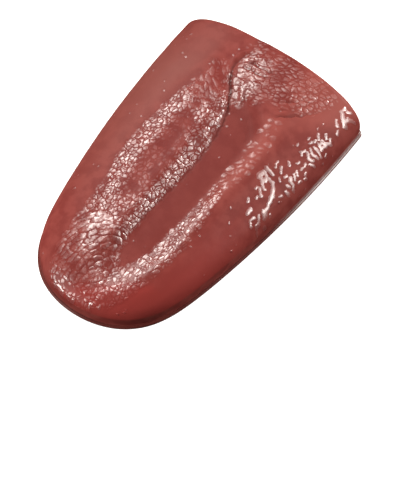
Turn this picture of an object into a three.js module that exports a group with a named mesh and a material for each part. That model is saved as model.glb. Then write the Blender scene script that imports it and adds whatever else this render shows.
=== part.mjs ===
// A prank fake tongue: one soft rubber moulding, worn over the wearer's own tongue.
// Millimetres, +Z up. The tongue lies flat on its underside, with its root at +Y and its tip at -Y.
// The origin is the middle of the outline on the flat underside.
// A place on the tongue is given by two shares: s runs from 0 at the root's end to 1 at the tip,
// and u from -1 at the left edge to 1 at the right edge of the body at that s.

import * as THREE from 'three';
import { mergeVertices } from 'three/addons/utils/BufferGeometryUtils.js';

const { clamp, lerp, smoothstep } = THREE.MathUtils;

// Overall size, over the lip round the underside
const LENGTH = 76.9;
const ROOT_WIDTH = 50;
const TIP_WIDTH = 31.4;       // the width that unbowed sides would run out to at the tip
const SIDE_BOW = 2.75;        // how far each side bows out, halfway along
const ROOT_HEIGHT = 14;
const TIP_HEIGHT = 11;        // the height that the crown would run out to at the tip

// Lip: the mould's thin parting rim, left all round the underside
const LIP_PROUD = 0.55;
const LIP_HEIGHT = 0.9;
const LIP_ROUNDING = 0.3;

// Side wall and the roundings of the root's end
const EDGE_HEIGHT = 2.8;      // upright part of the side, below the crown
const ROOT_CORNER = 1.4;      // rounding of the two upright corners
const ROOT_EDGE = 1.3;        // rounding of the upper edge

// Pocket for the wearer's tongue, open at the root's end
const POCKET_DEPTH = 46;
const FLOOR = 2;
const ROOF = 2.2;             // least wall above the pocket, under the bottom of the groove
const SIDE_WALL = 3;

// Relief of the upper face
const GROOVE_DEPTH = 1.7;
const CREST_HEIGHT = 0.55;
const PAD_HEIGHT = 0.6;
const DENT_DEPTH = 0.35;

// Shape of the outline and of the crown, as pure numbers
const TIP_START = 0.5;        // s where the outline begins to turn in towards the tip
const TIP_SQUARENESS = 7.5;   // how late the outline turns in
const TIP_DROP = 3;           // how late the crown drops towards the tip
const CROWN_AT_ROOT = 2.4;    // fullness of the crown's cross section
const CROWN_AT_TIP = 2.8;
const POCKET_SQUARENESS = 6;  // how late the pocket closes towards its inner end

// Steps of the faceted surface, and how close two of its points are welded into one
const CORNER_STEPS = 4;
const SIDE_STEPS = 70;        // along one side, from the root's corner to the middle of the tip
const CROWN_STEPS = 30;       // from the middle of the crown to its edge
const FAN_REACH = 19;         // distance from the tip's end within which the rows fan out
const POCKET_ROWS = 14;
const POCKET_STEPS = 16;
const WELD = 1e-4;

const ROOT_Y = LENGTH / 2;
const BODY_LENGTH = LENGTH - LIP_PROUD;
const FAN_CENTRE_Y = FAN_REACH - ROOT_Y;

// Folds of the upper face. Each is a path over the crown with a width to either side, as shares u of the
// half width, and a height, as a share of the fold's own height.
// flat is the share of a fold's width that stays level.
const FOLDS = [
  {
    // The groove starts as a crease left of the middle at the root, and runs right of it towards the tip
    height: -GROOVE_DEPTH,
    flat: 0.4,
    rows: [
      { s: 0.00, u: -0.25, left: 0.20, right: 0.20, share: 0.08 },
      { s: 0.08, u: -0.23, left: 0.20, right: 0.18, share: 0.18 },
      { s: 0.14, u: -0.17, left: 0.20, right: 0.20, share: 0.32 },
      { s: 0.20, u: -0.02, left: 0.22, right: 0.26, share: 0.52 },
      { s: 0.25, u: 0.13, left: 0.26, right: 0.32, share: 0.76 },
      { s: 0.32, u: 0.22, left: 0.32, right: 0.33, share: 0.94 },
      { s: 0.42, u: 0.25, left: 0.32, right: 0.32, share: 1.00 },
      { s: 0.53, u: 0.25, left: 0.32, right: 0.33, share: 1.00 },
      { s: 0.64, u: 0.24, left: 0.31, right: 0.37, share: 1.00 },
      { s: 0.76, u: 0.24, left: 0.32, right: 0.40, share: 0.92 },
      { s: 0.84, u: 0.18, left: 0.32, right: 0.42, share: 0.66 },
      { s: 0.91, u: 0.10, left: 0.30, right: 0.40, share: 0.28 },
      { s: 0.97, u: 0.05, left: 0.28, right: 0.36, share: 0.00 },
    ],
  },
  {
    // The broad left crest, between the smooth left border and the groove
    height: CREST_HEIGHT,
    flat: 0.45,
    rows: [
      { s: 0.00, u: -0.36, left: 0.26, right: 0.14, share: 0.15 },
      { s: 0.12, u: -0.30, left: 0.32, right: 0.16, share: 0.40 },
      { s: 0.24, u: -0.20, left: 0.34, right: 0.22, share: 0.75 },
      { s: 0.37, u: -0.19, left: 0.36, right: 0.28, share: 1.00 },
      { s: 0.50, u: -0.20, left: 0.38, right: 0.30, share: 1.00 },
      { s: 0.64, u: -0.19, left: 0.36, right: 0.28, share: 1.00 },
      { s: 0.76, u: -0.16, left: 0.36, right: 0.28, share: 0.95 },
      { s: 0.88, u: -0.10, left: 0.44, right: 0.30, share: 0.65 },
      { s: 0.98, u: 0.00, left: 0.50, right: 0.30, share: 0.00 },
    ],
  },
  {
    // The narrower right crest
    height: CREST_HEIGHT,
    flat: 0.2,
    rows: [
      { s: 0.16, u: 0.56, left: 0.22, right: 0.24, share: 0.00 },
      { s: 0.30, u: 0.58, left: 0.22, right: 0.22, share: 0.75 },
      { s: 0.46, u: 0.61, left: 0.22, right: 0.20, share: 1.00 },
      { s: 0.62, u: 0.65, left: 0.24, right: 0.20, share: 1.00 },
      { s: 0.78, u: 0.69, left: 0.27, right: 0.20, share: 0.90 },
      { s: 0.89, u: 0.66, left: 0.32, right: 0.24, share: 0.55 },
      { s: 0.98, u: 0.50, left: 0.34, right: 0.30, share: 0.00 },
    ],
  },
  {
    // The wrinkled pad at the root, right of the crease
    height: PAD_HEIGHT,
    flat: 0.5,
    rows: [
      { s: 0.00, u: 0.16, left: 0.36, right: 0.46, share: 0.30 },
      { s: 0.08, u: 0.20, left: 0.38, right: 0.44, share: 0.90 },
      { s: 0.15, u: 0.24, left: 0.36, right: 0.40, share: 1.00 },
      { s: 0.21, u: 0.34, left: 0.34, right: 0.32, share: 0.65 },
      { s: 0.28, u: 0.50, left: 0.28, right: 0.28, share: 0.00 },
    ],
  },
  {
    // The shallow dent along the top of the left crest
    height: -DENT_DEPTH,
    flat: 0.1,
    rows: [
      { s: 0.28, u: -0.18, left: 0.14, right: 0.14, share: 0.00 },
      { s: 0.42, u: -0.19, left: 0.15, right: 0.14, share: 0.90 },
      { s: 0.54, u: -0.20, left: 0.15, right: 0.14, share: 1.00 },
      { s: 0.66, u: -0.21, left: 0.15, right: 0.14, share: 0.80 },
      { s: 0.78, u: -0.20, left: 0.14, right: 0.14, share: 0.00 },
    ],
  },
];

// Outline and crown

// How far s is along the stretch where the outline turns in, from 0 to 1
function tipShare(s) {
  return clamp((s - TIP_START) / (1 - TIP_START), 0, 1);
}

// How far a rounded corner draws back at a distance from its end
function drawBack(distance, radius) {
  const inside = clamp(radius - distance, 0, radius);
  return radius - Math.sqrt(radius ** 2 - inside ** 2);
}

// How far the body's side is from the middle line, without the rounded tip and corners.
// The bow is a parabola, which is full halfway along.
function sideReach(s) {
  const bow = SIDE_BOW * (1 - (2 * s - 1) ** 2);
  return lerp(ROOT_WIDTH, TIP_WIDTH, s) / 2 - LIP_PROUD + bow;
}

// The same distance with the corners and the tip rounded
function halfWidth(s) {
  const atRoot = drawBack(s * BODY_LENGTH, ROOT_CORNER);
  return (sideReach(s) - atRoot) * Math.sqrt(1 - tipShare(s) ** TIP_SQUARENESS);
}

// How high the middle of the crown stands above the upright part of the side
function crownHeight(s) {
  return (lerp(ROOT_HEIGHT, TIP_HEIGHT, s) - EDGE_HEIGHT) * Math.sqrt(1 - tipShare(s) ** TIP_DROP);
}

// The crown's cross section, from 1 in the middle to 0 at its edge
function crownShare(s, u) {
  return Math.sqrt(1 - Math.min(Math.abs(u), 1) ** lerp(CROWN_AT_ROOT, CROWN_AT_TIP, s));
}

// A smooth curve through one column of a table's rows
function column(rows, name) {
  const curve = new THREE.CubicInterpolant(rows.map((row) => row.s), rows.map((row) => row[name]), 1);
  return (s) => curve.evaluate(s)[0];
}

const foldCurves = FOLDS.map(({ height, flat, rows }) => ({
  height,
  flat,
  start: rows[0].s,
  end: rows[rows.length - 1].s,
  u: column(rows, 'u'),
  left: column(rows, 'left'),
  right: column(rows, 'right'),
  share: column(rows, 'share'),
}));

// What the folds add to the crown, or take from it
function relief(s, u) {
  let sum = 0;
  for (const fold of foldCurves) {
    if (s < fold.start || s > fold.end) continue;
    const across = u - fold.u(s);
    const reach = Math.abs(across) / (across < 0 ? fold.left(s) : fold.right(s));
    sum += fold.height * fold.share(s) * (1 - smoothstep(reach, fold.flat, 1));
  }
  return sum;
}

// How high the upper face stands at a place in the outline
function upperFace(x, y) {
  const s = clamp((ROOT_Y - y) / BODY_LENGTH, 0, 1);
  const u = clamp(x / Math.max(halfWidth(s), WELD), -1, 1);
  const full = crownHeight(s);
  const rounding = 1 - drawBack(s * BODY_LENGTH, ROOT_EDGE) / full;
  return EDGE_HEIGHT + full * rounding * crownShare(s, u) + relief(s, u) * rounding;
}

// One side of the body's outline, from the root's rounded corner to the middle of the tip
class SideOutline extends THREE.Curve {
  getPoint(t, target = new THREE.Vector2()) {
    const s = 1 - (1 - t) ** 2 * (1 - ROOT_CORNER / BODY_LENGTH);
    return target.set(halfWidth(s), ROOT_Y - s * BODY_LENGTH);
  }
}

// The right half of the body's outline, from the root's end round its corner to the middle of the tip
function rightOutline() {
  const corner = [];
  for (let i = 0; i < CORNER_STEPS; i += 1) {
    const y = ROOT_CORNER * (1 - Math.cos((i / CORNER_STEPS) * Math.PI / 2));
    corner.push(new THREE.Vector2(halfWidth(y / BODY_LENGTH), ROOT_Y - y));
  }
  const side = new SideOutline();
  side.arcLengthDivisions = 20 * SIDE_STEPS;
  return [...corner, ...side.getSpacedPoints(SIDE_STEPS)];
}

// Rows run from the middle line out to the outline: straight across, and fanned out round the tip.
// Each row is a list of points, down the crown and over the lip to the underside.
function bodyRow(edge) {
  const start = new THREE.Vector2(0, Math.max(edge.y, FAN_CENTRE_Y));
  const outward = edge.clone().sub(start).normalize();
  const row = [];
  for (let i = 0; i < CROWN_STEPS; i += 1) {
    const place = start.clone().lerp(edge, Math.sin((i / CROWN_STEPS) * Math.PI / 2));
    row.push(new THREE.Vector3(place.x, place.y, upperFace(place.x, place.y)));
  }
  const lip = [
    { out: 0, up: EDGE_HEIGHT },
    { out: 0, up: LIP_HEIGHT },
    { out: LIP_PROUD - LIP_ROUNDING, up: LIP_HEIGHT },
    { out: LIP_PROUD, up: LIP_HEIGHT - LIP_ROUNDING },
    { out: LIP_PROUD, up: LIP_ROUNDING },
    { out: LIP_PROUD - LIP_ROUNDING, up: 0 },
  ];
  for (const { out, up } of lip) {
    row.push(new THREE.Vector3(edge.x + outward.x * out, edge.y + outward.y * out, up));
  }
  return row;
}

// Pocket: its rings run from the mouth, in the root's end, to the rounded inner end
function pocketRing(depth) {
  const s = (depth * POCKET_DEPTH) / BODY_LENGTH;
  const closing = Math.sqrt(1 - depth ** POCKET_SQUARENESS);
  const reach = (sideReach(s) - SIDE_WALL) * closing;
  const ceiling = lerp(ROOT_HEIGHT, TIP_HEIGHT, s) - ROOF - GROOVE_DEPTH;
  const rise = (ceiling - FLOOR) * closing;
  const ring = [];
  for (let i = 0; i <= POCKET_STEPS; i += 1) {
    const across = -Math.cos((i / POCKET_STEPS) * Math.PI);
    const up = FLOOR + rise * crownShare(s, across);
    ring.push(new THREE.Vector3(across * reach, ROOT_Y - depth * POCKET_DEPTH, up));
  }
  return ring;
}

// Triangles

function addTriangle(soup, a, b, c) {
  if (a.equals(b) || b.equals(c) || c.equals(a)) return;
  soup.push(a.x, a.y, a.z, b.x, b.y, b.z, c.x, c.y, c.z);
}

// The skin between two lists of points of equal length
function addStrip(soup, near, far) {
  for (let i = 0; i < near.length - 1; i += 1) {
    addTriangle(soup, near[i], far[i], near[i + 1]);
    addTriangle(soup, near[i + 1], far[i], far[i + 1]);
  }
}

// A flat face inside an outline, with holes, as seen from the side that flatten looks from
function addFlatFace(soup, outline, holes, flatten) {
  const points = [outline, ...holes].flat();
  const flatHoles = holes.map((hole) => hole.map(flatten));
  for (const [a, b, c] of THREE.ShapeUtils.triangulateShape(outline.map(flatten), flatHoles)) {
    const [p, q, r] = [points[a], points[b], points[c]];
    const turn = flatten(q).sub(flatten(p)).cross(flatten(r).sub(flatten(p)));
    if (turn > 0) addTriangle(soup, p, q, r);
    else addTriangle(soup, p, r, q);
  }
}

function tongueGeometry() {
  const mirror = (point) => new THREE.Vector2(-point.x, point.y);
  const right = rightOutline();
  const left = right.slice(0, -1).map(mirror);
  const rows = [...left, ...right.reverse()].map(bodyRow);
  const soup = [];

  for (let i = 0; i < rows.length - 1; i += 1) addStrip(soup, rows[i + 1], rows[i]);

  // The underside is laid between the feet of the two sides, which meet at the tip's foot
  const feet = rows.map((row) => row[row.length - 1]);
  const tipFoot = left.length;
  for (let i = 0; i < tipFoot; i += 1) {
    const last = feet.length - 1;
    addStrip(soup, [feet[last - i], feet[i]], [feet[last - i - 1], feet[i + 1]]);
  }

  const rings = [];
  for (let i = 0; i < POCKET_ROWS; i += 1) {
    rings.push(pocketRing(Math.sin((i / POCKET_ROWS) * Math.PI / 2)));
  }
  for (let i = 0; i < rings.length - 1; i += 1) {
    addStrip(soup, [...rings[i + 1], rings[i + 1][0]], [...rings[i], rings[i][0]]);
  }
  const innerEnd = rings[rings.length - 1];
  addFlatFace(soup, innerEnd, [], (point) => new THREE.Vector2(-point.x, point.z));

  const rootEnd = [...rows[0].slice().reverse(), ...rows[rows.length - 1].slice(1)];
  addFlatFace(soup, rootEnd, [rings[0]], (point) => new THREE.Vector2(-point.x, point.z));

  const geometry = new THREE.BufferGeometry();
  geometry.setAttribute('position', new THREE.Float32BufferAttribute(soup, 3));
  const welded = mergeVertices(geometry, WELD);
  welded.computeVertexNormals();
  return welded;
}

const rubber = new THREE.MeshStandardMaterial({ color: 0x96504a, roughness: 0.36, metalness: 0 });

const tongue = new THREE.Mesh(tongueGeometry(), rubber);
tongue.name = 'tongue';

const fakeTongue = new THREE.Group();
fakeTongue.add(tongue);

export default fakeTongue;
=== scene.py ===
# A soft rubber prank tongue, lying on a pale table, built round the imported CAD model. Metres, +Z up.
# Its root is at +Y, its tip at -Y, and its flat underside at Z = 0.

import math

import bmesh
import bpy
import numpy as np
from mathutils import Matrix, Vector


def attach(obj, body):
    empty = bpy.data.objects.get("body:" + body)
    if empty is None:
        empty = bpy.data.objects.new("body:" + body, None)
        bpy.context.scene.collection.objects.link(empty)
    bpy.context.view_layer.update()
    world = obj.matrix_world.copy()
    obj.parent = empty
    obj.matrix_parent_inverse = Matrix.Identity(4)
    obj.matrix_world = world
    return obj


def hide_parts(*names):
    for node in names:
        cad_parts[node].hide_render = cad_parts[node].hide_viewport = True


MM = 0.001

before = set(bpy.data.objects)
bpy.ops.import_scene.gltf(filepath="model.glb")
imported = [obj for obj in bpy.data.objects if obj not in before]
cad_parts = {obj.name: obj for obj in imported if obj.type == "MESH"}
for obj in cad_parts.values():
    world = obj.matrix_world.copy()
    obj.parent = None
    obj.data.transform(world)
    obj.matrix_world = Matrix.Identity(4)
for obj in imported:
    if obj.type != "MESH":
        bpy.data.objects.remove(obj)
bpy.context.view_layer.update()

# Camera
# A long lens half a metre away, 58 degrees above the table, looks at the tongue from beyond its tip.

AZIMUTH = math.radians(35.76)
ELEVATION = math.radians(58)
DISTANCE = 0.5
FOCAL_LENGTH_MM = 168.6
SENSOR_MM = 36
AIM = Vector((11.39, -6.73, 0)) * MM

towards_camera = Vector((
    math.sin(AZIMUTH) * math.cos(ELEVATION),
    -math.cos(AZIMUTH) * math.cos(ELEVATION),
    math.sin(ELEVATION),
))
camera_data = bpy.data.cameras.new("camera")
camera_data.lens = FOCAL_LENGTH_MM
camera_data.sensor_fit = "VERTICAL"
camera_data.sensor_height = SENSOR_MM
camera = bpy.data.objects.new("camera", camera_data)
camera.location = AIM + towards_camera * DISTANCE
camera.rotation_euler = towards_camera.to_track_quat("Z", "Y").to_euler()
bpy.context.scene.collection.objects.link(camera)
bpy.context.scene.camera = camera

# Tongue: the moulded form
# One moulding of soft thermoplastic rubber. The CAD solid is welded into quads and subdivided. Its lip
# and the rim of its pocket stay sharp.

WELD_DISTANCE = 0.002 * MM
FLATTEST_JOIN = math.radians(25)
SQUAREST_JOIN = math.radians(35)
SHARP_EDGE = math.radians(38)
SUBDIVISIONS = 2

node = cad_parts["tongue"]
mesh = node.data.copy()
mesh.name = "tongue_skin"
mesh.materials.clear()
shape = bmesh.new()
shape.from_mesh(mesh)
bmesh.ops.remove_doubles(shape, verts=shape.verts, dist=WELD_DISTANCE)
bmesh.ops.join_triangles(
    shape, faces=shape.faces, angle_face_threshold=FLATTEST_JOIN, angle_shape_threshold=SQUAREST_JOIN
)
crease = shape.edges.layers.float.new("crease_edge")
for edge in shape.edges:
    if edge.calc_face_angle(0) > SHARP_EDGE:
        edge[crease] = 1
shape.to_mesh(mesh)
shape.free()
tongue = bpy.data.objects.new("tongue_skin", mesh)
bpy.context.scene.collection.objects.link(tongue)
refine = tongue.modifiers.new("refine", "SUBSURF")
refine.levels = SUBDIVISIONS
refine.render_levels = SUBDIVISIONS


def applied(piece):
    """The piece's mesh as its modifiers leave it, with the modifiers taken off."""
    result = bpy.data.meshes.new_from_object(piece.evaluated_get(bpy.context.evaluated_depsgraph_get()))
    piece.modifiers.clear()
    piece.data = result
    return result


skin = applied(tongue)
count = len(skin.vertices)
points = np.empty(count * 3)
skin.vertices.foreach_get("co", points)
points = points.reshape(-1, 3) / MM
normals = np.empty(count * 3)
skin.vertices.foreach_get("normal", normals)
normals = normals.reshape(-1, 3)
x, y, z = points.T

# Tongue: where each kind of wrinkle lies
# Each area is a strip along the tongue: rows of y with its left and right edge in x, in millimetres,
# and how strong the wrinkles are there. Blur is the width over which the area fades out.


def smooth(value):
    """A smooth step from 0 to 1 as the value goes from 0 to 1."""
    value = np.clip(value, 0, 1)
    return value * value * (3 - 2 * value)


AREAS = {
    # Fine pebbles over the broad left crest, from the root to the tip
    "left_field": {"blur": 2.4, "rows": [
        # y, left, right, strength
        (30.5, -9.4, -7.4, 0.2),
        (27.0, -10.4, -7.2, 0.35),
        (24.0, -10.9, -7.6, 0.38),
        (20.0, -11.5, -7.2, 0.52),
        (15.0, -11.9, -5.0, 0.85),
        (10.0, -12.2, 2.5, 1.0),
        (5.0, -12.5, 2.7, 1.0),
        (0.0, -12.9, 2.6, 1.0),
        (-5.0, -12.6, 2.2, 1.0),
        (-10.0, -11.6, 1.8, 1.0),
        (-15.0, -11.0, 1.6, 1.0),
        (-20.0, -10.8, 1.6, 1.0),
        (-24.0, -10.8, 2.6, 0.8),
        (-28.0, -10.6, 5.0, 0.8),
        (-32.0, -10.4, 6.0, 0.7),
        (-36.0, -9.2, 6.0, 0.55),
        (-38.2, -6.5, 4.0, 0.5),
    ]},
    # The pebbles that crowd beside the crease
    "hem_field": {"blur": 1.8, "rows": [
        (23.0, -4.4, -1.6, 0.3),
        (19.0, -4.8, 0.2, 0.9),
        (15.0, -4.4, 1.4, 1.0),
        (10.0, -3.0, 2.2, 1.0),
        (6.0, -1.6, 2.4, 0.7),
    ]},
    # Fainter wrinkles that fan out between those two
    "left_fan": {"blur": 3.0, "rows": [
        (31.0, -9.0, -5.6, 0.3),
        (27.0, -9.6, -4.4, 0.7),
        (24.0, -9.6, -3.4, 0.85),
        (20.0, -9.4, -3.0, 1.0),
        (16.0, -9.0, -3.4, 0.8),
        (12.0, -8.6, -3.8, 0.2),
    ]},
    # The smoother dent along the middle of the crest
    "dent": {"blur": 2.6, "rows": [
        (22.0, -7.4, -3.0, 0.0),
        (17.0, -7.8, -2.8, 0.5),
        (12.0, -7.8, -1.8, 0.8),
        (8.0, -7.6, -1.4, 1.0),
        (4.0, -7.6, -1.0, 1.0),
        (0.0, -7.8, -0.8, 1.0),
        (-4.0, -7.6, -0.8, 1.0),
        (-8.0, -6.8, -1.2, 1.0),
        (-13.0, -5.8, -1.6, 0.8),
        (-18.0, -4.4, -2.4, 0.0),
    ]},
    # The groove's smooth floor, painted a darker tone as shade
    "groove_floor_shade": {"blur": 4.0, "rows": [
        (24.0, 0.0, 6.0, 0.3),
        (18.0, 1.0, 10.0, 0.9),
        (10.0, 1.8, 10.4, 1.0),
        (0.0, 1.8, 9.6, 1.0),
        (-10.0, 1.0, 9.4, 1.0),
        (-20.0, 0.8, 8.6, 1.0),
        (-26.0, 0.0, 5.0, 0.6),
        (-29.0, 0.0, 3.0, 0.0),
    ]},
    # The bright band of pebbles along the groove's right bank, which turns in under the tip
    "right_band": {"blur": 1.6, "rows": [
        (20.0, 9.4, 13.6, 0.1),
        (15.0, 9.6, 13.8, 0.2),
        (5.0, 9.4, 13.6, 0.3),
        (0.0, 8.8, 13.0, 0.6),
        (-5.0, 9.0, 13.2, 0.9),
        (-10.0, 8.7, 13.6, 1.0),
        (-15.0, 8.0, 13.7, 1.0),
        (-20.0, 7.6, 13.2, 1.0),
        (-24.0, 6.0, 12.4, 1.0),
        (-27.0, 4.4, 11.8, 1.0),
        (-30.0, 2.8, 10.8, 1.0),
        (-33.0, 0.8, 9.4, 1.0),
        (-36.0, 0.0, 7.2, 0.7),
    ]},
    # Soft knots along the upper part of the right crest
    "right_knots": {"blur": 2.4, "rows": [
        (25.0, 9.6, 13.6, 0.2),
        (20.0, 9.4, 14.2, 0.8),
        (14.0, 9.4, 14.4, 1.0),
        (8.0, 9.4, 14.2, 1.0),
        (2.0, 9.0, 13.6, 0.8),
        (-4.0, 9.0, 13.0, 0.3),
    ]},
    # The plates of the small pad at the root
    "pad_knots": {"blur": 2.0, "rows": [
        (35.0, -3.0, 3.0, 0.3),
        (32.0, -4.0, 4.0, 1.0),
        (28.0, -3.8, 3.8, 1.0),
        (25.0, -2.6, 3.4, 1.0),
        (22.0, -0.8, 3.0, 1.0),
        (20.4, 0.4, 2.4, 0.6),
    ]},
    # The cells that fan out from the pad over the right of the root
    "root_fan": {"blur": 3.6, "rows": [
        (38.6, -4.0, 18.0, 0.5),
        (36.0, -5.0, 18.5, 0.8),
        (32.0, -4.4, 18.0, 0.9),
        (29.0, -4.2, 16.6, 0.9),
        (26.5, -3.4, 14.2, 0.8),
        (24.0, -1.8, 7.6, 0.7),
        (21.0, -0.4, 3.4, 0.6),
    ]},
    # Painted sheen: a paler tone over the right of the root, and then over the left side
    "painted_sheen_root_right": {"blur": 5.0, "rows": [
        (38.6, 9.0, 23.0, 1.0),
        (30.0, 11.0, 21.0, 0.9),
        (24.0, 12.0, 17.0, 0.4),
        (20.0, 12.0, 15.0, 0.0),
    ]},
    "painted_sheen_left_side": {"blur": 6.0, "rows": [
        (38.6, -24.0, -8.0, 0.2),
        (30.0, -25.0, -10.0, 0.5),
        (22.0, -25.0, -12.0, 0.9),
        (10.0, -25.0, -13.0, 0.7),
        (-5.0, -25.0, -13.0, 0.4),
        (-20.0, -23.0, -12.0, 0.1),
    ]},
    # Painted light: the shaded right side towards the tip is given a lighter, redder tone
    "painted_light_right_side": {"blur": 6.0, "rows": [
        (4.0, 18.0, 28.0, 0.0),
        (-6.0, 16.0, 27.0, 0.5),
        (-16.0, 15.0, 26.0, 0.9),
        (-26.0, 13.0, 24.0, 1.0),
        (-33.0, 2.0, 20.0, 1.0),
        (-38.4, -6.0, 16.0, 1.0),
    ]},
    # Rows of pebbles in arcs across the left of the tip
    "tip_arcs": {"blur": 2.6, "rows": [
        (-18.0, -9.6, 1.6, 0.2),
        (-21.0, -10.4, 2.0, 1.0),
        (-25.0, -10.4, 2.6, 1.0),
        (-30.0, -10.4, 2.6, 0.9),
        (-34.0, -9.4, 0.6, 0.6),
        (-37.0, -7.0, -1.0, 0.3),
    ]},
}

# The upper face starts above the lip, where the surface looks up: over this height in millimetres, and
# from this upright part of its normal on, over this much more of it
LIP_TOP = 1.2
STEEPEST = 0.02
STEEP_BLUR = 0.2

on_top = smooth((z - LIP_TOP) / LIP_TOP) * smooth((normals[:, 2] - STEEPEST) / STEEP_BLUR)
masks = {}
for name, area in AREAS.items():
    row_y, row_left, row_right, row_strength = np.array(area["rows"])[::-1].T
    from_sides = np.minimum(x - np.interp(y, row_y, row_left), np.interp(y, row_y, row_right) - x)
    from_ends = np.minimum(y - row_y[0], row_y[-1] - y)
    inside = np.minimum(from_sides, from_ends)
    strength = np.interp(y, row_y, row_strength)
    masks[name] = smooth(inside / area["blur"] + 0.5) * strength * on_top

# Tongue: creases and folds
# Each is a path over the upper face: rows of x, y, the half width and how high it stands, in millimetres.
# Where it is cut in, the height is negative.

PATHS = {
    # The deep crease at the root, which runs on as the foot of the groove's left bank
    "crease": [
        # x, y, half width, height
        (-5.4, 31.0, 0.6, -0.09),
        (-4.7, 27.8, 0.6, -0.42),
        (-3.4, 25.4, 0.6, -0.57),
        (-1.6, 22.6, 0.6, -0.60),
        (-0.2, 20.3, 0.6, -0.54),
        (0.8, 18.0, 0.6, -0.45),
        (1.6, 15.2, 0.6, -0.39),
        (2.2, 11.5, 0.6, -0.33),
        (2.6, 7.5, 0.6, -0.30),
        (2.8, 3.0, 0.6, -0.27),
        (2.6, -2.0, 0.6, -0.25),
        (2.1, -7.0, 0.6, -0.24),
        (1.7, -12.0, 0.6, -0.23),
        (1.5, -17.0, 0.6, -0.18),
        (1.7, -21.5, 0.6, 0.00),
    ],
    # The hem that stands up to the left of the crease
    "hem": [
        (-5.6, 27.6, 0.7, 0.04),
        (-4.6, 25.2, 0.7, 0.13),
        (-2.8, 22.4, 0.7, 0.15),
        (-1.4, 20.0, 0.7, 0.15),
        (-0.5, 17.6, 0.7, 0.13),
        (0.3, 14.8, 0.6, 0.10),
        (0.9, 11.4, 0.6, 0.00),
    ],
    # The crescent round the upper left of the pad
    "crescent": [
        (-5.2, 28.6, 0.6, 0.00),
        (-5.9, 30.2, 0.6, 0.22),
        (-5.7, 32.0, 0.7, 0.28),
        (-4.9, 33.6, 0.7, 0.25),
        (-3.4, 35.0, 0.6, 0.14),
        (-1.6, 36.0, 0.6, 0.00),
    ],
    # The pad's own rim, inside the crescent
    "rim": [
        (-3.0, 26.6, 0.7, 0.06),
        (-3.5, 28.6, 0.8, 0.22),
        (-3.2, 30.8, 0.8, 0.25),
        (-1.9, 32.6, 0.8, 0.25),
        (0.2, 33.4, 0.9, 0.22),
        (2.2, 32.6, 0.8, 0.00),
    ],
    # The cut between the two
    "rim_foot": [
        (-4.6, 28.6, 0.5, -0.20),
        (-4.8, 30.6, 0.5, -0.35),
        (-4.2, 32.6, 0.5, -0.35),
        (-2.6, 34.2, 0.5, -0.30),
        (-0.2, 34.9, 0.5, 0.00),
    ],
    # Cracks across the pad
    "upper_crack": [
        (-3.9, 31.0, 0.4, -0.10),
        (-1.8, 31.5, 0.4, -0.40),
        (0.6, 31.2, 0.4, -0.40),
        (3.0, 31.4, 0.4, -0.35),
        (6.0, 32.6, 0.4, 0.00),
    ],
    "lower_crack": [
        (-3.6, 29.4, 0.4, -0.10),
        (-1.6, 29.9, 0.4, -0.40),
        (0.8, 29.4, 0.4, -0.40),
        (3.4, 29.6, 0.4, -0.30),
        (7.0, 31.0, 0.4, 0.00),
    ],
    "upright_crack": [
        (-1.6, 33.2, 0.35, -0.10),
        (-1.1, 31.8, 0.35, -0.35),
        (-1.4, 30.2, 0.35, -0.30),
        (-0.8, 28.6, 0.35, 0.00),
    ],
    # The knob at the pad's lower end
    "knob": [
        (-0.6, 25.6, 1.0, 0.10),
        (0.6, 24.2, 1.1, 0.45),
        (1.6, 22.6, 1.0, 0.45),
        (1.9, 21.0, 0.8, 0.05),
    ],
    # One long and two short cuts that run back over the right of the root
    "back_line": [
        (10.6, 22.5, 0.35, -0.10),
        (11.4, 23.2, 0.4, -0.38),
        (13.8, 25.6, 0.4, -0.38),
        (15.5, 27.8, 0.4, -0.22),
        (17.7, 31.2, 0.4, -0.08),
    ],
    "short_line": [
        (9.8, 23.9, 0.35, -0.10),
        (10.8, 24.7, 0.4, -0.30),
        (11.9, 25.6, 0.35, -0.10),
    ],
    "upper_line": [
        (9.2, 26.0, 0.35, -0.10),
        (10.8, 27.3, 0.4, -0.34),
        (12.1, 28.6, 0.35, -0.10),
    ],
}

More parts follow.
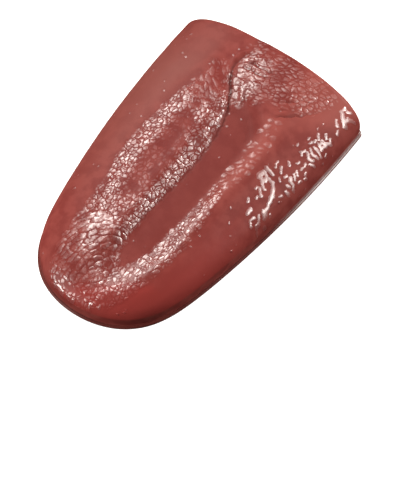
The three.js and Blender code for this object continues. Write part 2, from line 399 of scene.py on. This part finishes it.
STROKES = {
    # Wet strokes, each a short path like those above, but with its strength for a height: the pad's knob
    "knob": [(0.2, 24.9, 0.8, 0.9), (1.2, 23.4, 0.9, 0.9), (1.8, 21.4, 0.6, 0.9)],
    # Down the right shoulder, from the root's corner
    "corner": [
        (20.6, 34.8, 0.6, 1.0),
        (21.4, 34.2, 0.75, 1.0),
        (22.2, 33.8, 0.8, 1.0),
        (22.9, 33.2, 0.6, 0.8),
    ],
    "corner_arm": [(22.3, 34.2, 0.45, 1.0), (22.4, 35.1, 0.4, 0.9)],
    "corner_bar": [(22.6, 34.5, 0.45, 0.9), (23.6, 36.0, 0.45, 0.7)],
    "corner_spot": [(20.7, 35.6, 0.4, 0.7), (21.0, 36.0, 0.4, 0.7)],
    "upper_corner_spot": [(21.5, 36.0, 0.4, 0.5), (22.2, 36.6, 0.4, 0.5)],
    "below_corner": [(21.0, 32.3, 0.4, 0.8), (21.5, 31.7, 0.55, 0.8), (21.9, 31.9, 0.4, 0.7)],
    "edge_fleck": [(22.3, 31.1, 0.3, 0.5), (22.7, 30.4, 0.3, 0.5)],
    "upper_tick": [(21.0, 28.0, 0.35, 0.9), (21.6, 27.3, 0.35, 0.9)],
    "second_tick": [(20.0, 26.6, 0.35, 0.9), (20.7, 25.9, 0.4, 0.9)],
    "loop": [
        (21.4, 24.7, 0.4, 1.0),
        (21.5, 26.0, 0.45, 1.0),
        (22.5, 26.0, 0.45, 1.0),
        (22.2, 24.6, 0.45, 1.0),
        (21.4, 24.7, 0.4, 1.0),
    ],
    "loop_arm": [(22.3, 26.4, 0.4, 1.0), (22.8, 27.6, 0.45, 1.0), (22.3, 28.0, 0.3, 0.8)],
    "first_bar": [(21.0, 23.7, 0.35, 1.0), (22.9, 23.4, 0.4, 0.9)],
    "second_bar": [(20.6, 22.4, 0.35, 1.0), (21.7, 22.1, 0.4, 1.0), (22.9, 22.4, 0.35, 0.9)],
    "third_bar": [(20.5, 21.2, 0.45, 1.0), (21.3, 20.7, 0.5, 1.0), (22.2, 21.1, 0.45, 0.9)],
    "hook": [(20.2, 19.8, 0.3, 0.8), (19.6, 20.2, 0.35, 0.9), (19.9, 21.1, 0.35, 0.9)],
    "fourth_bar": [(22.2, 20.1, 0.3, 0.9), (23.1, 20.5, 0.3, 0.9)],
    "drop": [(18.9, 16.3, 0.4, 1.0), (19.4, 15.9, 0.5, 1.0)],
    "middle_tick": [(21.3, 16.1, 0.3, 0.7), (22.0, 15.8, 0.3, 0.7)],
    "middle_bar": [(21.1, 15.1, 0.35, 0.9), (21.8, 14.6, 0.35, 0.9)],
    "bend": [(21.0, 14.0, 0.4, 1.0), (21.5, 13.3, 0.4, 1.0), (22.1, 13.3, 0.35, 0.9)],
    "lower_bar": [(22.3, 13.5, 0.4, 1.0), (22.9, 12.8, 0.4, 1.0)],
    "bead": [(21.5, 12.1, 0.4, 1.0), (22.0, 12.3, 0.4, 1.0)],
    "lowest_bar": [(21.9, 10.9, 0.5, 1.0), (22.5, 11.1, 0.5, 1.0)],
    "inner_tick": [(18.5, 14.1, 0.4, 0.9), (19.0, 13.0, 0.45, 0.9)],
    "second_inner_tick": [(19.3, 11.8, 0.3, 0.9), (19.9, 11.5, 0.3, 0.9)],
    "cap": [(16.3, 11.3, 0.55, 1.0), (17.9, 11.4, 0.6, 1.0)],
    "ring": [
        (16.3, 10.2, 0.6, 1.0),
        (17.2, 10.0, 0.6, 1.0),
        (17.6, 9.2, 0.5, 1.0),
        (17.1, 8.4, 0.5, 1.0),
        (16.3, 8.6, 0.6, 1.0),
        (16.0, 9.6, 0.7, 1.0),
        (16.3, 10.2, 0.6, 1.0),
    ],
    "ring_foot": [(17.3, 8.1, 0.45, 1.0), (18.6, 7.5, 0.45, 1.0)],
    "below_ring": [(17.8, 6.6, 0.5, 1.0), (18.7, 5.8, 0.55, 1.0)],
    "worm": [
        (18.0, 10.0, 0.4, 1.0),
        (19.1, 9.9, 0.5, 1.0),
        (19.8, 8.8, 0.6, 1.0),
        (20.4, 7.7, 0.6, 1.0),
        (20.9, 6.4, 0.5, 1.0),
        (21.2, 4.3, 0.5, 1.0),
        (21.9, 3.0, 0.5, 1.0),
    ],
    "worm_side": [(20.9, 3.6, 0.4, 1.0), (21.2, 3.1, 0.4, 0.9)],
    "foot": [(20.7, 1.9, 0.4, 1.0), (21.4, 1.2, 0.4, 1.0), (21.6, 0.2, 0.4, 0.9), (22.3, -0.4, 0.4, 0.8)],
    "inner_foot": [(20.3, 1.0, 0.35, 0.9), (20.3, -0.2, 0.35, 0.9), (20.9, -1.1, 0.4, 0.9)],
    "inner_fleck": [(17.2, 3.0, 0.35, 0.7), (17.5, 2.2, 0.35, 0.7)],
    "lowest": [(18.7, 1.7, 0.5, 0.9), (19.0, 0.8, 0.55, 0.9), (18.9, 0.0, 0.3, 0.7)],
    # Wet spots where the tip turns down
    "tip_oval": [(-4.4, -37.0, 0.45, 1.0), (-3.5, -37.2, 0.5, 1.0)],
    "tip_oval_tail": [(-6.0, -36.8, 0.3, 0.8), (-5.0, -36.9, 0.35, 0.9)],
    "tip_spot": [(-2.2, -37.5, 0.4, 0.9), (-1.6, -37.5, 0.4, 0.9)],
    "second_tip_spot": [(-0.8, -37.6, 0.35, 0.8), (-0.3, -37.6, 0.35, 0.8)],
    "tip_fleck": [(-6.3, -36.2, 0.3, 0.7), (-6.0, -36.4, 0.3, 0.7)],
    "right_tip_spot": [(3.8, -36.4, 0.35, 0.8), (3.7, -37.0, 0.35, 0.8)],
}
DOTS = [
    # x, y, half width of the small wet dots between the strokes
    (22.5, 30.7, 0.35),
    (20.2, 24.8, 0.35),
    (19.1, 24.0, 0.30),
    (19.9, 23.5, 0.30),
    (23.5, 24.7, 0.30),
    (18.2, 20.9, 0.30),
    (21.8, 19.0, 0.35),
    (21.6, 17.8, 0.30),
    (20.3, 17.8, 0.30),
    (22.7, 17.6, 0.35),
    (23.1, 17.0, 0.30),
    (22.9, 15.4, 0.35),
    (17.3, 14.4, 0.30),
    (17.5, 13.4, 0.30),
    (20.3, 13.3, 0.35),
    (21.9, 9.3, 0.35),
    (17.1, 6.1, 0.30),
    (22.2, 4.6, 0.30),
    (22.7, 1.9, 0.35),
    (18.4, 4.6, 0.30),
    (5.6, -36.2, 0.30),
]
DOT_LENGTH = 0.5
DOT_STRENGTH = 0.9
for dot_x, dot_y, half_width in DOTS:
    STROKES[f"dot at {dot_x}, {dot_y}"] = [
        (dot_x, dot_y - DOT_LENGTH / 2, half_width, DOT_STRENGTH),
        (dot_x, dot_y + DOT_LENGTH / 2, half_width, DOT_STRENGTH),
    ]
STROKE_HEIGHT = 0.13
STROKE_WIDENING = 1.05
STROKE_STEEPNESS = 1.7
WOBBLE = 0.12
NEAR_A_PATH = 2


def drawn_along(rows, plan, wider=1.0):
    """The height drawn round one path, at each place in plan, and where that is."""
    table = np.array(rows)
    lowest = table[:, :2].min(0) - NEAR_A_PATH
    highest = table[:, :2].max(0) + NEAR_A_PATH
    near_path = (plan > lowest).all(1) & (plan < highest).all(1)
    place = plan[near_path]
    best = np.full(len(place), np.inf)
    height = np.zeros(len(place))
    for start, end in zip(table[:-1], table[1:]):
        along = end[:2] - start[:2]
        share = np.clip((place - start[:2]) @ along / (along @ along), 0, 1)
        distance = np.linalg.norm(place - start[:2] - share[:, None] * along, axis=1)
        width = start[2] + share * (end[2] - start[2])
        reach = distance / (width * wider)
        closer = reach < best
        best[closer] = reach[closer]
        height[closer] = (start[3] + share * (end[3] - start[3]))[closer]
    return near_path, height * smooth(1 - best)


# The paths wander a little, so that none is a clean arc
wobble = np.stack([
    np.sin(1.9 * y + 0.7 * x) + 0.6 * np.sin(4.3 * y - 1.1 * x),
    np.sin(2.3 * x + 0.4 * y) + 0.6 * np.sin(3.7 * x + 1.3 * y),
], axis=1)
plan = points[:, :2] + WOBBLE * wobble
rise = np.zeros(count)
for rows in PATHS.values():
    near_path, height = drawn_along(rows, plan)
    rise[near_path] += height
strokes = np.zeros(count)
for rows in STROKES.values():
    near_path, height = drawn_along(rows, plan, STROKE_WIDENING)
    strokes[near_path] = np.maximum(strokes[near_path], smooth(height * STROKE_STEEPNESS))
strokes *= on_top
rise += STROKE_HEIGHT * strokes
rise *= on_top
points[:, 2] += rise
skin.vertices.foreach_set("co", (points * MM).ravel())
for name, values in {**masks, "on_top": on_top, "rise": rise, "strokes": strokes}.items():
    attribute = skin.attributes.new(name, "FLOAT", "POINT")
    attribute.data.foreach_set("value", values)

# Tongue: pebbles, cells, arcs and lumps
# The fine relief comes from cell patterns, each inside its own area. Geometry Nodes raise it on the mesh,
# and the material repeats the same pattern as bump, finer than the mesh can hold. Sizes in millimetres.

SIZES = {
    "Pebble size": 0.90,
    "Pebble height": 0.16,
    "Band height": 0.09,
    "Cell length": 1.75,
    "Cell width": 0.95,
    "Cell height": 0.13,
    "Arc spacing": 1.25,
    "Arc height": 0.17,
    "Knot size": 1.5,
    "Knot height": 0.21,
    "Plate size": 1.5,
    "Plate height": 0.16,
    "Waviness": 0.6,
    "Pimple size": 1.6,
    "Pimple height": 0.10,
    "Unevenness": 0.22,
}
MESH_SHARE = 0.45
ARC_MIDDLE = (6, -33, 0)
ARC_CELLS_PER_RADIAN = 4.5


def add(kind, values=(), **settings):
    """A node with its settings, and its inputs linked to the sockets or set to the values given."""
    made = tree.nodes.new(kind)
    for key, value in settings.items():
        setattr(made, key, value)
    for socket, value in zip([s for s in made.inputs if s.enabled], values):
        if isinstance(value, bpy.types.NodeSocket):
            tree.links.new(value, socket)
        elif value is not None:
            socket.default_value = value
    return made


def sum_of(a, b):
    return add("ShaderNodeMath", (a, b), operation="ADD").outputs[0]


def minus(a, b):
    return add("ShaderNodeMath", (a, b), operation="SUBTRACT").outputs[0]


def times(a, b):
    return add("ShaderNodeMath", (a, b), operation="MULTIPLY").outputs[0]


def larger(a, b):
    return add("ShaderNodeMath", (a, b), operation="MAXIMUM").outputs[0]


def ramp(value, start, end, low, high):
    """A smooth step from low to high as the value goes from start to end."""
    made = add("ShaderNodeMapRange", (value, start, end, low, high), interpolation_type="SMOOTHSTEP")
    return made.outputs["Result"]


def noise(place, scale, detail=1):
    made = add("ShaderNodeTexNoise", noise_dimensions="3D")
    tree.links.new(place, made.inputs["Vector"])
    made.inputs["Scale"].default_value = scale
    made.inputs["Detail"].default_value = detail
    return made.outputs


def in_cells(place, width, length, depth, turn=0):
    """The place counted in cells of that size, after a turn about the upright axis."""
    turned = add("ShaderNodeVectorRotate", rotation_type="Z_AXIS")
    tree.links.new(place, turned.inputs["Vector"])
    turned.inputs["Angle"].default_value = math.radians(turn)
    size = add("ShaderNodeCombineXYZ", (width, length, depth)).outputs[0]
    return add("ShaderNodeVectorMath", (turned.outputs[0], size), operation="DIVIDE").outputs[0]


def domes(place, crack, randomness=1, lowest=0.35):
    """Rounded pebbles of varied height, one to a cell, parted by cracks that take that share of a cell."""
    middle = add("ShaderNodeTexVoronoi", feature="F1", voronoi_dimensions="3D")
    edge = add("ShaderNodeTexVoronoi", feature="DISTANCE_TO_EDGE", voronoi_dimensions="3D")
    for made in (middle, edge):
        tree.links.new(place, made.inputs["Vector"])
        made.inputs["Scale"].default_value = 1
        made.inputs["Randomness"].default_value = randomness
    chance = add("ShaderNodeSeparateXYZ", (middle.outputs["Color"],)).outputs[0]
    crown = ramp(middle.outputs["Distance"], 0.0, 0.75, 0.3, 0)
    body = ramp(edge.outputs["Distance"], 0.0, crack, 0, 0.7)
    return times(sum_of(crown, body), ramp(chance, 0, 1, lowest, 1))


def scattered(place, share, reach):
    """Smooth lumps of that reach in about that share of the cells."""
    made = add("ShaderNodeTexVoronoi", feature="F1", voronoi_dimensions="3D")
    tree.links.new(place, made.inputs["Vector"])
    made.inputs["Scale"].default_value = 1
    chance = add("ShaderNodeSeparateXYZ", (made.outputs["Color"],)).outputs[0]
    lump = ramp(made.outputs["Distance"], 0.1, reach, 1, 0)
    return times(lump, ramp(chance, 0.95 - share, 1.05 - share, 0, 1))


def wrinkle_height(millimetres, size, share):
    """How high the fine relief stands. Size and share give the value for a name."""
    slow_noise = noise(millimetres, 0.45, 2)["Color"]
    drift = add("ShaderNodeVectorMath", (slow_noise, (0.5, 0.5, 0.5)), operation="SUBTRACT")
    wave = add("ShaderNodeVectorMath", (drift.outputs[0],), operation="SCALE")
    tree.links.new(times(size("Waviness"), 2), wave.inputs["Scale"])
    place = add("ShaderNodeVectorMath", (millimetres, wave.outputs[0]), operation="ADD").outputs[0]

    # The patterns, each over the whole tongue
    pebble = size("Pebble size")
    pebbles = domes(in_cells(place, pebble, times(pebble, 1.4), pebble, turn=10), crack=0.24, lowest=0.3)
    wide, long = size("Cell width"), size("Cell length")
    fan = domes(in_cells(place, long, wide, wide, turn=-24), crack=0.3, lowest=0.4)
    left_fan = domes(in_cells(place, times(long, 1.3), wide, wide, turn=50), crack=0.3, lowest=0.4)
    plate = size("Plate size")
    plates = domes(in_cells(place, times(plate, 1.5), plate, plate, turn=-20), crack=0.16, lowest=0.7)
    knot = size("Knot size")
    knots = domes(in_cells(place, times(knot, 1.4), knot, knot, turn=-25), crack=0.6, lowest=0.1)
    pimple = size("Pimple size")
    pimples = scattered(in_cells(place, pimple, pimple, pimple), share=0.13, reach=0.25)

    # Round the middle of the arcs, the place is taken as a distance and a turn
    from_middle = add("ShaderNodeVectorMath", (place, ARC_MIDDLE), operation="SUBTRACT").outputs[0]
    flat = add("ShaderNodeSeparateXYZ", (from_middle,)).outputs
    level = add("ShaderNodeCombineXYZ", (flat[0], flat[1], 0)).outputs[0]
    distance = add("ShaderNodeVectorMath", (level,), operation="LENGTH").outputs["Value"]
    ring = add("ShaderNodeMath", (distance, size("Arc spacing")), operation="DIVIDE").outputs[0]
    turn = add("ShaderNodeMath", (flat[1], flat[0]), operation="ARCTAN2").outputs[0]
    in_rings = add("ShaderNodeCombineXYZ", (ring, times(turn, ARC_CELLS_PER_RADIAN), 0)).outputs[0]
    arcs = domes(in_rings, crack=0.28, randomness=0.7)

    # Where each pattern stands, with a frayed edge, and how high
    fray = times(minus(noise(millimetres, 0.45, 2)["Fac"], 0.5), 1.1)

    def frayed(name):
        return ramp(sum_of(share(name), times(fray, ramp(share(name), 0, 0.15, 0, 1))), 0.2, 0.8, 0, 1)

    arc_share = frayed("tip_arcs")
    patches = ramp(noise(millimetres, 0.3, 1)["Fac"], 0.35, 0.62, 0.45, 1.2)
    left_share = larger(frayed("left_field"), frayed("hem_field"))
    left_share = times(times(left_share, ramp(arc_share, 0.2, 1.0, 1, 0.2)), patches)
    band_height = times(frayed("right_band"), size("Band height"))
    height = times(pebbles, larger(times(left_share, size("Pebble height")), band_height))
    dented = minus(share("dent"), share("hem_field"))
    height = times(height, ramp(dented, 0.2, 1.0, 1, 0.35))
    fan_share = times(frayed("root_fan"), ramp(share("pad_knots"), 0.3, 0.9, 1, 0.25))
    height = sum_of(height, times(times(fan, size("Cell height")), fan_share))
    height = sum_of(height, times(times(left_fan, size("Cell height")), frayed("left_fan")))
    height = sum_of(height, times(times(plates, size("Plate height")), share("pad_knots")))
    height = sum_of(height, times(times(arcs, size("Arc height")), arc_share))
    height = sum_of(height, times(times(knots, size("Knot height")), frayed("right_knots")))
    return sum_of(height, times(times(pimples, size("Pimple height")), share("on_top")))


rubber = bpy.data.materials.new("rubber")

tree = bpy.data.node_groups.new("skin_relief", "GeometryNodeTree")
tree.interface.new_socket("Geometry", in_out="INPUT", socket_type="NodeSocketGeometry")
identifiers = {}
for name in SIZES:
    socket = tree.interface.new_socket(name, in_out="INPUT", socket_type="NodeSocketFloat")
    identifiers[name] = socket.identifier
tree.interface.new_socket("Geometry", in_out="OUTPUT", socket_type="NodeSocketGeometry")
given = tree.nodes.new("NodeGroupInput").outputs


def stored(name):
    return add("GeometryNodeInputNamedAttribute", (name,), data_type="FLOAT").outputs["Attribute"]


position = add("GeometryNodeInputPosition").outputs[0]
millimetres = add("ShaderNodeVectorMath", (position,), operation="SCALE")
millimetres.inputs["Scale"].default_value = 1 / MM
relief = times(wrinkle_height(millimetres.outputs[0], given.__getitem__, stored), MESH_SHARE)
slow = minus(noise(millimetres.outputs[0], 0.16, 2)["Fac"], 0.5)
relief = sum_of(relief, times(times(slow, given["Unevenness"]), stored("on_top")))

offset = add("ShaderNodeVectorMath", (add("GeometryNodeInputNormal").outputs[0],), operation="SCALE")
tree.links.new(times(relief, MM), offset.inputs["Scale"])
moved = add("GeometryNodeSetPosition")
tree.links.new(given["Geometry"], moved.inputs["Geometry"])
tree.links.new(offset.outputs[0], moved.inputs["Offset"])
realized = add("GeometryNodeRealizeInstances", (moved.outputs[0],))
coloured = add("GeometryNodeSetMaterial", (realized.outputs[0],))
coloured.inputs["Material"].default_value = rubber
tree.links.new(coloured.outputs[0], tree.nodes.new("NodeGroupOutput").inputs["Geometry"])

skin_relief = tongue.modifiers.new("skin relief", "NODES")
skin_relief.node_group = tree
for name, value in SIZES.items():
    skin_relief[identifiers[name]] = value
skin = applied(tongue)
for face in skin.polygons:
    face.use_smooth = True
print("triangles", sum(len(face.vertices) - 2 for face in skin.polygons))

# Tongue: the rubber
# Dusky flesh red, with painted shade in the cracks, the cuts, the groove and along the lip, and painted
# sheen and painted light on parts of the sides, a wet gloss on the wrinkles and the strokes and a duller
# skin elsewhere. The gloss is a coat, and its weight says how wet a place is.

rubber.use_nodes = True
tree = rubber.node_tree
shader = tree.nodes["Principled BSDF"]
place = add("ShaderNodeTexCoord").outputs["Object"]


def drawn(name):
    return add("ShaderNodeAttribute", attribute_name=name).outputs["Fac"]


def blend(share, low, high):
    """A colour between low and high."""
    made = add("ShaderNodeMix", data_type="RGBA")
    for socket, value in zip((made.inputs[0], made.inputs[6], made.inputs[7]), (share, low, high)):
        if isinstance(value, bpy.types.NodeSocket):
            tree.links.new(value, socket)
        else:
            socket.default_value = value
    return made.outputs[2]


millimetres = add("ShaderNodeVectorMath", (place,), operation="SCALE")
millimetres.inputs["Scale"].default_value = 1 / MM
fine = wrinkle_height(millimetres.outputs[0], SIZES.get, drawn)
wrinkled = larger(larger(drawn("left_field"), drawn("hem_field")), drawn("right_band"))
wrinkled = larger(wrinkled, larger(times(drawn("root_fan"), 0.88), drawn("tip_arcs")))
wrinkled = larger(wrinkled, times(drawn("left_fan"), 0.6))
dent = larger(minus(drawn("dent"), drawn("hem_field")), 0)

along, upright = add("ShaderNodeSeparateXYZ", (millimetres.outputs[0],)).outputs[1:]
mottle = ramp(noise(place, 300, 4)["Fac"], 0.38, 0.62, 0, 1)
colour = (0.096, 0.0168, 0.0142, 1)
LAYERS = [
    # how much of the layer shows, and its colour as linear light
    (mottle, (0.122, 0.0252, 0.0210)),
    # Painted sheen: a paler tone over the right of the root and on the knots of the right crest
    (larger(drawn("painted_sheen_root_right"), times(drawn("right_knots"), 0.8)), (0.156, 0.0385, 0.0320)),
    # Painted sheen: a paler tone over the left side
    (drawn("painted_sheen_left_side"), (0.116, 0.0335, 0.0280)),
    # Painted light: a lighter, redder tone on the shaded right side towards the tip
    (drawn("painted_light_right_side"), (0.148, 0.0208, 0.0176)),
    # Painted shade: a darker tone on the groove's floor
    (times(drawn("groove_floor_shade"), 0.68), (0.076, 0.0118, 0.0098)),
    # Painted shade: darker in the cracks between the pebbles, where the rubber is also partly darker, in
    # the cuts, and along the lip
    (times(ramp(fine, 0.0, 0.06, 0.35, 0), wrinkled), (0.065, 0.010, 0.0085)),
    (ramp(drawn("rise"), 0.0, -0.5, 0, 0.55), (0.050, 0.0095, 0.008)),
    (ramp(upright, 0.8, 1.3, 0.75, 0), (0.045, 0.010, 0.008)),
]
for share, tint in LAYERS:
    colour = blend(share, colour, (*tint, 1))
tree.links.new(colour, shader.inputs["Base Color"])
tree.links.new(ramp(wrinkled, 0, 0.7, 0.56, 0.36), shader.inputs["Roughness"])

# Wet on the tops of the wrinkles, in patches and broken up finely
raised = ramp(fine, 0.005, ramp(drawn("right_knots"), 0.2, 0.8, 0.045, 0.06), 0, 1)
wet = times(ramp(wrinkled, 0.5, 1.0, 0.2, 1), minus(1, times(dent, 0.85)))
wet = times(wet, ramp(noise(millimetres.outputs[0], 0.32, 1)["Fac"], 0.38, 0.6, 0.55, 1))
wet = larger(wet, larger(drawn("right_band"), times(drawn("pad_knots"), 0.7)))
wet = times(wet, ramp(noise(millimetres.outputs[0], 1.4, 2)["Fac"], 0.36, 0.56, 0.42, 1.25))
wet = larger(wet, larger(times(minus(1, wrinkled), 0.5), times(drawn("right_knots"), 0.42)))
wet = times(wet, larger(raised, ramp(drawn("right_band"), 0.7, 1.0, 0.03, 0.2)))

# Wet strokes, and a wet lip towards the root
wet = larger(wet, ramp(drawn("strokes"), 0.1, 0.4, 0, 1))
lip = times(ramp(upright, 0.6, 0.9, 0, 0.8), ramp(upright, 1.3, 1.9, 1, 0))
wet = larger(wet, times(lip, ramp(along, 2, 24, 0, 1)))
tree.links.new(wet, shader.inputs["Coat Weight"])
for socket, value in (("Specular IOR Level", 0.04), ("Coat Roughness", 0.31), ("Coat IOR", 1.8)):
    shader.inputs[socket].default_value = value
GRAIN_HEIGHT = 0.012
grain = times(noise(place, 1500, 3)["Fac"], GRAIN_HEIGHT)
bump = add("ShaderNodeBump")
bump.inputs["Strength"].default_value = 1
bump.inputs["Distance"].default_value = MM
tree.links.new(sum_of(times(fine, 1 - MESH_SHARE), grain), bump.inputs["Height"])
tree.links.new(bump.outputs[0], shader.inputs["Normal"])
tree.links.new(bump.outputs[0], shader.inputs["Coat Normal"])

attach(tongue, "root")
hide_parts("tongue")

# Table
# Plain white paper, lit hard enough to show as pure white.

bpy.ops.mesh.primitive_plane_add(size=4)
table = bpy.context.object
table.name = "table"
paper = bpy.data.materials.new("white_paper")
paper.use_nodes = True
white = paper.node_tree.nodes["Principled BSDF"]
white.inputs["Base Color"].default_value = (0.5, 0.5, 0.5, 1)
white.inputs["Roughness"].default_value = 1
white.inputs["Specular IOR Level"].default_value = 0
white.inputs["Emission Color"].default_value = (1, 1, 1, 1)
white.inputs["Emission Strength"].default_value = 0.75
table.data.materials.append(paper)
table.visible_diffuse = False
table.visible_glossy = False

# Lights
# Lit panels stand round the tongue, 0.6 m from it, in a dark room. Each is given by its bearing from the
# root's direction, clockwise seen from above, by its height, both in degrees, and by its sides and power.

LAMPS = [
    # name, bearing, height, width and length of the panel in m, power in W
    ("left", -63, 35, 0.16, 0.30, 2.45),
    ("window", -74, 59, 0.26, 0.26, 2.70),
    ("front", -135, 71, 0.20, 0.18, 1.00),
    ("low_front", -148, 18, 0.22, 0.18, 6.60),
    ("top", -20, 64, 0.18, 0.16, 0.90),
    ("back", 30, 22, 0.14, 0.14, 4.80),
    ("right", 66, 22, 0.14, 0.26, 2.85),
    ("high_right", 60, 48, 0.14, 0.14, 0.70),
]
LAMP_DISTANCE = 0.6
WARM_WHITE = (1.0, 0.955, 0.905)

for name, bearing, height, width, length, power in LAMPS:
    round_by, up_by = math.radians(bearing), math.radians(height)
    towards = Vector((
        math.sin(round_by) * math.cos(up_by),
        math.cos(round_by) * math.cos(up_by),
        math.sin(up_by),
    ))
    data = bpy.data.lights.new(name, "AREA")
    data.shape = "RECTANGLE"
    data.size = width
    data.size_y = length
    data.energy = power
    data.color = WARM_WHITE
    lamp = bpy.data.objects.new(name, data)
    lamp.location = towards * LAMP_DISTANCE
    lamp.rotation_euler = towards.to_track_quat("Z", "Y").to_euler()
    bpy.context.scene.collection.objects.link(lamp)

world = bpy.data.worlds.new("studio")
world.use_nodes = True
world.node_tree.nodes["Background"].inputs["Color"].default_value = (1, 1, 1, 1)
world.node_tree.nodes["Background"].inputs["Strength"].default_value = 0.05
bpy.context.scene.world = world
bpy.context.scene.view_settings.view_transform = "Standard"
